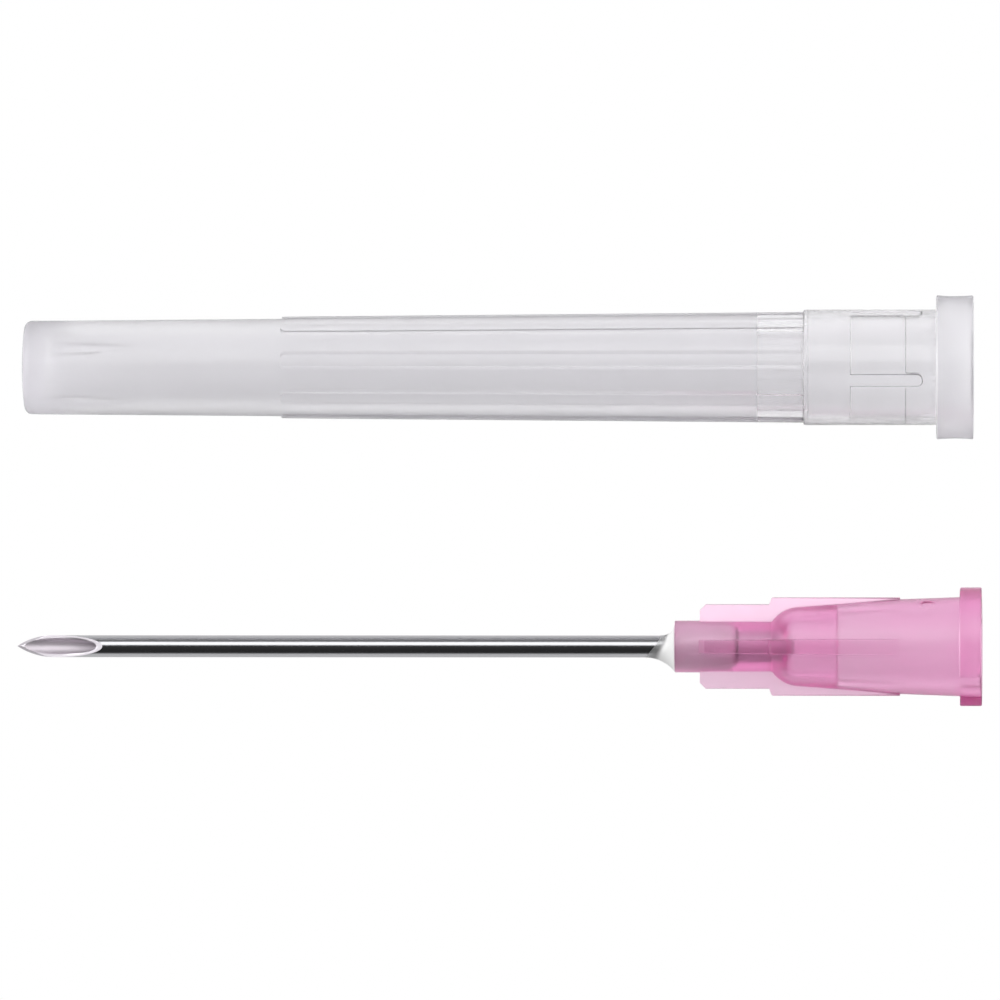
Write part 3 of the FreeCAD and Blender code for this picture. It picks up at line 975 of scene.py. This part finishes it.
@dataclass
class Sheath:
    """The clear sheath, x = 0 at its closed end.

    Eight ribs stand on its outside. In the gaps between them, the bore has four splines
    near the mouth and four tongues at the closed end, by turns.
    """

    lie: Lie
    length: float = 54.92
    end: float = 2.7
    corner: float = 0.45
    dome: float = 0.13
    wall: float = 3.045
    collar_front: float = 45.12
    collar: float = 3.33
    collar_edge: float = 0.12
    flange_front: float = 52.8
    flange: float = 4.15
    flange_edge: float = 0.07
    flange_fillet: float = 0.06
    flange_hollow: float = 0.045
    rib_front: float = 15.0
    rib_width: float = 0.78
    rib_corner: float = 0.3
    rib_crests: tuple = (2.935, 3.195)
    mouth_lead: float = 0.15
    step_run: float = 0.015
    cavity_start: float = 1.27
    cavity_round: float = 1.1
    cavity: tuple = (2.06, 2.14)
    steps: tuple = ((42.46, 2.49), (45.41, 2.9), (47.84, 3.02), (51.02, 3.07))
    spline_ends: tuple = (47.84, 52.0)
    spline_width: float = 0.7
    spline_crest: float = 2.9
    tongue_end: float = 7.1
    tongue_slope: float = 3.5
    tongue_width: float = 0.62
    tongue_crest: float = 1.88
    least_width: float = 0.06
    plain_share: float = 0.3
    spokes: Spokes = Spokes(count=8, crest=6, side=3, wall=8, edge=0.07, draft=0.05)
    finish: Finish = CLEAR

    def outside(self) -> tuple:
        """Rows of the outside from the closed end to the mouth.

        The closed end is a shallow dome and a rounded corner, the wall and its ribs widen
        in straight lines, and the flange's rim is hollow by a parabola. A rib's nose is
        round seen from above.

        Returns:
            x, angles and radii.
        """
        corner_x, corner_r = self.dome + self.corner, self.end - self.corner
        dome = (corner_r**2 + self.dome**2) / (2 * self.dome)
        out = np.linspace(0.04, 1.0, 8) * corner_r
        front = self.rib_front
        plain = join(
            np.stack([dome - np.sqrt(dome**2 - out**2), out], 1),
            arc((corner_x, corner_r), self.corner, 172, 93, 9),
            divide((corner_x + 0.3, self.end + 0.002), (front - HAIR, self.wall_at(front)), 7),
        )
        turned = self.rib_corner * (1 - np.cos(np.radians(np.linspace(0, 90, 7))))
        ribbed = np.concatenate([front + turned, np.linspace(front + 1, self.collar_front, 8)])
        edge, fillet = self.flange_edge, self.flange_fillet
        middle = 0.5 * (self.flange_front + self.length)
        half = 0.5 * (self.length - self.flange_front) - edge
        rim_x = np.linspace(-1, 1, 9)
        rim_r = self.flange - self.flange_hollow * (1 - rim_x**2)
        rim = np.stack([middle + half * rim_x, rim_r], 1)
        bend, step_r = self.collar_edge, self.collar - self.collar_edge
        rear = join(
            (self.collar_front + HAIR, step_r),
            arc((self.collar_front + bend, step_r), bend, 165, 90, 5),
            (self.flange_front - 0.1, self.collar),
            arc((self.flange_front - fillet, self.collar + fillet), fillet, 290, 350, 4),
            (self.flange_front, self.flange - edge),
            arc((self.flange_front + edge, self.flange - edge), edge, 165, 100, 4),
            rim,
            arc((self.length - edge, self.flange - edge), edge, 80, 10, 4),
        )
        x = np.concatenate([plain[:, 0], ribbed, rear[:, 0]])
        base = np.concatenate([plain[:, 1], self.wall_at(ribbed), rear[:, 1]])
        start = np.clip((x - front) / self.rib_corner, 0, 1)
        width = self.rib_width / 2 - self.rib_corner * (1 - np.sqrt(1 - (1 - start) ** 2))
        width = np.where(x < front, np.minimum(width, base * self.plain_share), width)
        crest = np.interp(x, [front, self.collar_front], self.rib_crests)
        has_rib = (x >= front) & (x <= self.collar_front)
        top = np.where(has_rib, crest, base)
        return (x, *self.spokes.round(np.maximum(width, self.least_width), top, base))

    def wall_at(self, x: np.ndarray) -> np.ndarray:
        """The wall's outside radius between the closed end and the collar."""
        return np.interp(x, [self.dome + self.corner, self.collar_front], [self.end, self.wall])

    def bore_radius(self, x: np.ndarray) -> np.ndarray:
        """The bore's radius without its splines and tongues.

        Args:
            x: places behind the closed end.

        Returns:
            The radius at each place: a slight cone, and then one radius after each step.
        """
        radius = np.interp(x, [self.cavity_start, self.steps[0][0]], self.cavity)
        for place, size in self.steps:
            radius = np.where(x > place, size, radius)
        return radius

    def inside(self) -> tuple:
        """Rows of the bore from the mouth to the closed end.

        A spline's nose is round seen from above and drops to the wall by the same root. A
        tongue widens with the root of the distance from its tip and rises in a straight
        slope, and the cavity's end is a quarter circle.

        Returns:
            x, the bands' half widths, the crests' radii and the wall's, and in which rows
            there are splines and tongues.
        """
        tiny, lead = self.step_run, self.mouth_lead
        stops = [place for place, _ in self.steps]
        x = [self.length - lead * (1 - v) for v in (1.0, 0.7, 0.3, 0.0)]
        x += [stops[3] + tiny, stops[3] - tiny]
        ends, half = self.spline_ends, self.spline_width / 2
        tip = ends[1] - half * (1 - np.cos(np.radians(np.linspace(0, 90, 7))))
        x += [ends[1] + tiny, *tip]
        x += [ends[0] + tiny, ends[0] - tiny, 46.5, stops[1] + tiny, stops[1] - tiny]
        x += [44.0, stops[0] + tiny, stops[0] - tiny, 36.0, 28.0, 20.0, 12.0]
        x += list(np.linspace(self.tongue_end + 0.05, self.cavity_start + 0.5, 12))
        round_end = self.cavity_round
        turn = np.radians(np.linspace(8, 90, 12))
        x += list(self.cavity_start + round_end * (1 - np.sin(turn)))
        x = np.array(sorted(x, reverse=True))
        base = self.bore_radius(x)
        base = base + lead * np.clip((x - (self.length - lead)) / lead, 0, 1)
        near = np.clip((self.cavity_start + round_end - x) / round_end, 0, 1)
        base = base - round_end * (1 - np.sqrt(np.maximum(1 - near**2, 0)))
        splined = (x <= ends[1]) & (x >= ends[0])
        tongued = x <= self.tongue_end
        start = np.clip((ends[1] - x) / half, 0, 1)
        nose = np.sqrt(1 - (1 - start) ** 2)
        width = np.where(splined, half * nose, half)
        run = (self.tongue_end - x) / (self.tongue_end - self.cavity_start)
        tongue = 0.5 * self.tongue_width * np.sqrt(np.clip(run, 0.0, 1.0))
        width = np.where(tongued, np.maximum(tongue, 0.02), width)
        top = np.where(splined, base - (base - self.spline_crest) * nose, base)
        slope = np.clip((self.tongue_end - x) / self.tongue_slope, 0, 1)
        top = np.where(tongued, base - (base - self.tongue_crest).clip(0) * slope, top)
        return x, np.maximum(width, self.least_width), top, base, splined, tongued

    def build(self) -> bpy.types.Object:
        """Make the sheath as one closed skin, outside, mouth and bore.

        The bore's bands lie between the ribs, so its columns are turned by half a sector
        and shifted as many places, which keeps each column's line from outside to bore.

        Returns:
            The sheath.
        """
        outside = self.outside()
        x, width, top, base, splined, tongued = self.inside()
        splines = self.spokes.round(width, np.where(splined, top, base), base, {0, 2, 4, 6})
        tongues = self.spokes.round(width, np.where(tongued, top, base), base, {1, 3, 5, 7})
        shift = outside[1].shape[1] // (2 * self.spokes.count)
        angle, radius = (
            np.roll(np.where(tongued[:, None], tongue, spline), -shift, 1)
            for tongue, spline in zip(tongues, splines)
        )
        angle -= math.pi / self.spokes.count
        angle[:, -shift:] += 2 * math.pi
        rows = rows_at(*follow(outside, (x, angle, radius)))
        return skin(rows, self.lie, "sheath_moulding", ring=False)


@dataclass(frozen=True)
class Lamp:
    """A soft rectangular lamp that faces the middle of the floor.

    The lean is its angle from straight overhead and the turn the side it leans to, both in
    degrees, the turn from +X. Its radiance is what a mirror would show of it.
    """

    name: str
    lean: float
    turn: float
    size: tuple
    away: float
    radiance: float

    def build(self) -> None:
        """Hang the lamp. Its power is its radiance times pi times its area."""
        light = bpy.data.lights.new(self.name, "AREA")
        light.shape = "RECTANGLE"
        light.size, light.size_y = self.size
        light.energy = self.radiance * math.pi * self.size[0] * self.size[1]
        made = bpy.data.objects.new(self.name, light)
        lean, turn = math.radians(self.lean), math.radians(self.turn)
        out = self.away * math.sin(lean)
        made.location = (out * math.cos(turn), out * math.sin(turn), self.away * math.cos(lean))
        made.rotation_euler = (lean, 0.0, turn + math.pi / 2)
        bpy.context.scene.collection.objects.link(made)


LAMPS = (
    Lamp("softbox", 29.0, 90.0, (1.2, 0.30), 0.5, 1.8),
    Lamp("side_lamp_right", 62.0, 10.0, (0.4, 0.4), 0.6, 3.6),
    Lamp("side_lamp_left", 62.0, 170.0, (0.4, 0.4), 0.6, 3.6),
)


@dataclass
class Studio:
    """The white surface, the lamps, the room and the camera, in metres.

    The room's fade and skirt are each the sine of the direction where they start and end,
    over +Y or upwards, and the strengths there.
    """

    distance: float = 0.72
    frame_width: float = 0.0578
    aim: tuple = (0.0, 0.000045, 0.0028)
    floor_half: float = 0.6
    floor_drop: float = 0.00003
    floor_white: float = 0.52
    floor_glow: float = 0.34
    floor_backlight: float = 0.66
    room_fade: tuple = (-0.05, 0.6, 0.035, 0.28)
    room_skirt: tuple = (0.10, 0.30, 0.5, 0.0)
    sensor: float = 36.0

    def floor(self) -> None:
        """A white floor, shown as pure white to the camera.

        To light and glass it is a bright board that still takes a faint shadow: it glows,
        and the lamps add the rest.
        """
        half = self.floor_half
        mesh = bpy.data.meshes.new("floor")
        corners = [(-half, -half, 0), (half, -half, 0), (half, half, 0), (-half, half, 0)]
        mesh.from_pydata(corners, [], [(0, 1, 2, 3)])
        made = bpy.data.objects.new("floor", mesh)
        made.location.z = -self.floor_drop
        bpy.context.scene.collection.objects.link(made)

        material, tree = blank_material("white_floor")
        rays = add_node(tree, "LightPath", {}).outputs
        grey = (*[self.floor_white] * 3, 1.0)
        matt = add_node(tree, "BsdfDiffuse", {"Color": grey})
        inputs = {
            "Factor": rays["Is Transmission Ray"],
            "A": self.floor_glow,
            "B": self.floor_backlight,
        }
        through = add_node(tree, "Mix", inputs, data_type="FLOAT").outputs["Result"]
        glow = add_node(tree, "Emission", {"Color": WHITE, "Strength": through})
        inputs = {0: matt.outputs["BSDF"], 1: glow.outputs["Emission"]}
        board = add_node(tree, "AddShader", inputs)
        white = add_node(tree, "Emission", {"Color": WHITE, "Strength": 1.0})
        inputs = {
            "Fac": rays["Is Camera Ray"],
            1: board.outputs["Shader"],
            2: white.outputs["Emission"],
        }
        pick = add_node(tree, "MixShader", inputs)
        add_node(tree, "OutputMaterial", {"Surface": pick.outputs["Shader"]})
        mesh.materials.append(material)

    def world(self) -> None:
        """A room that is dark on the needle's side and grey behind the softbox.

        Low down, a skirt of light stands all round. The brighter of the two holds.
        """
        world = bpy.data.worlds.new("room")
        bpy.context.scene.world = world
        world.use_nodes = True
        tree = world.node_tree
        direction = add_node(tree, "TexCoord", {}).outputs["Generated"]
        split = add_node(tree, "SeparateXYZ", {"Vector": direction}).outputs
        inputs = {
            0: soft_range(split["Y"], *self.room_fade),
            1: soft_range(split["Z"], *self.room_skirt),
        }
        both = add_node(tree, "Math", inputs, operation="MAXIMUM")
        back = tree.nodes["Background"]
        back.inputs["Color"].default_value = WHITE
        tree.links.new(both.outputs["Value"], back.inputs["Strength"])

    def camera(self) -> None:
        """A long lens straight above, the sheath's side up in the picture.

        Its focal length is the sensor's width times the distance over the frame's width.
        """
        data = bpy.data.cameras.new("camera")
        data.sensor_width = self.sensor
        data.lens = self.sensor * (self.distance - self.aim[2]) / self.frame_width
        data.clip_start, data.clip_end = 0.05, 5.0
        made = bpy.data.objects.new("camera", data)
        made.location = (self.aim[0], self.aim[1], self.distance)
        bpy.context.scene.collection.objects.link(made)
        bpy.context.scene.camera = made

    def build(self) -> None:
        """Set the whole stage."""
        self.floor()
        for lamp in LAMPS:
            lamp.build()
        self.world()
        self.camera()
        bpy.context.scene.view_settings.view_transform = "Standard"


def needle_lie() -> Lie:
    """The needle rests on its point and on the front of its lower lug.

    The tilt's tangent is the lug's radius less the tube's, over the way from the point to
    where the lug's rounded edge ends. The needle is centred along X.

    Returns:
        The lie of the cannula's frame.
    """
    tube, lug = Cannula.outer, Hub.lug_radius
    tilt = math.atan((lug - tube) / (Cannula.exposed + Hub.lug_front + Hub.lug_edge))
    total = Cannula.exposed + Hub.length
    start = -0.5 * (total * math.cos(tilt) + (lug + tube) * math.sin(tilt))
    return Lie(start, NEEDLE_Y, tube * math.cos(tilt), tilt)


def sheath_lie() -> Lie:
    """The sheath rests on its rounded closed end and on the front of its flange.

    The tilt is the slope of the line from the corner's centre to the flange's rim, less
    the angle whose sine is the corner's radius over that line's length.

    Returns:
        The lie of the sheath's frame.
    """
    rim, rim_x = Sheath.flange, Sheath.flange_front + Sheath.flange_edge
    run = rim_x - (Sheath.dome + Sheath.corner)
    rise = rim - (Sheath.end - Sheath.corner)
    tilt = math.atan(rise / run) - math.asin(Sheath.corner / math.hypot(run, rise))
    height = rim * math.cos(tilt) - rim_x * math.sin(tilt)
    return Lie(*SHEATH_PLACE, height, tilt, math.radians(SHEATH_ROLL))


def dress() -> None:
    """Make every piece in place of its node, give it its finish and log it."""
    needle = needle_lie()
    nose = needle.ahead(Cannula.exposed)
    parts = {
        "cannula": Cannula(needle),
        "hub": Hub(nose),
        "adhesive_bead": Bead(nose),
        "sheath": Sheath(sheath_lie()),
    }
    for node, part in parts.items():
        piece = part.build()
        if not piece.data.materials:
            piece.data.materials.append(part.finish.material(part.lie))
        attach(piece, "root")
        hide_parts(node)
        low, high = (np.round(corner, 5).tolist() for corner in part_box(node))
        log.info("%s: %d faces, from %s to %s", node, len(piece.data.polygons), low, high)


def main() -> None:
    """Build the pieces and the stage, and note the sizes."""
    dress()
    Studio().build()


if __name__ == "__main__":
    main()
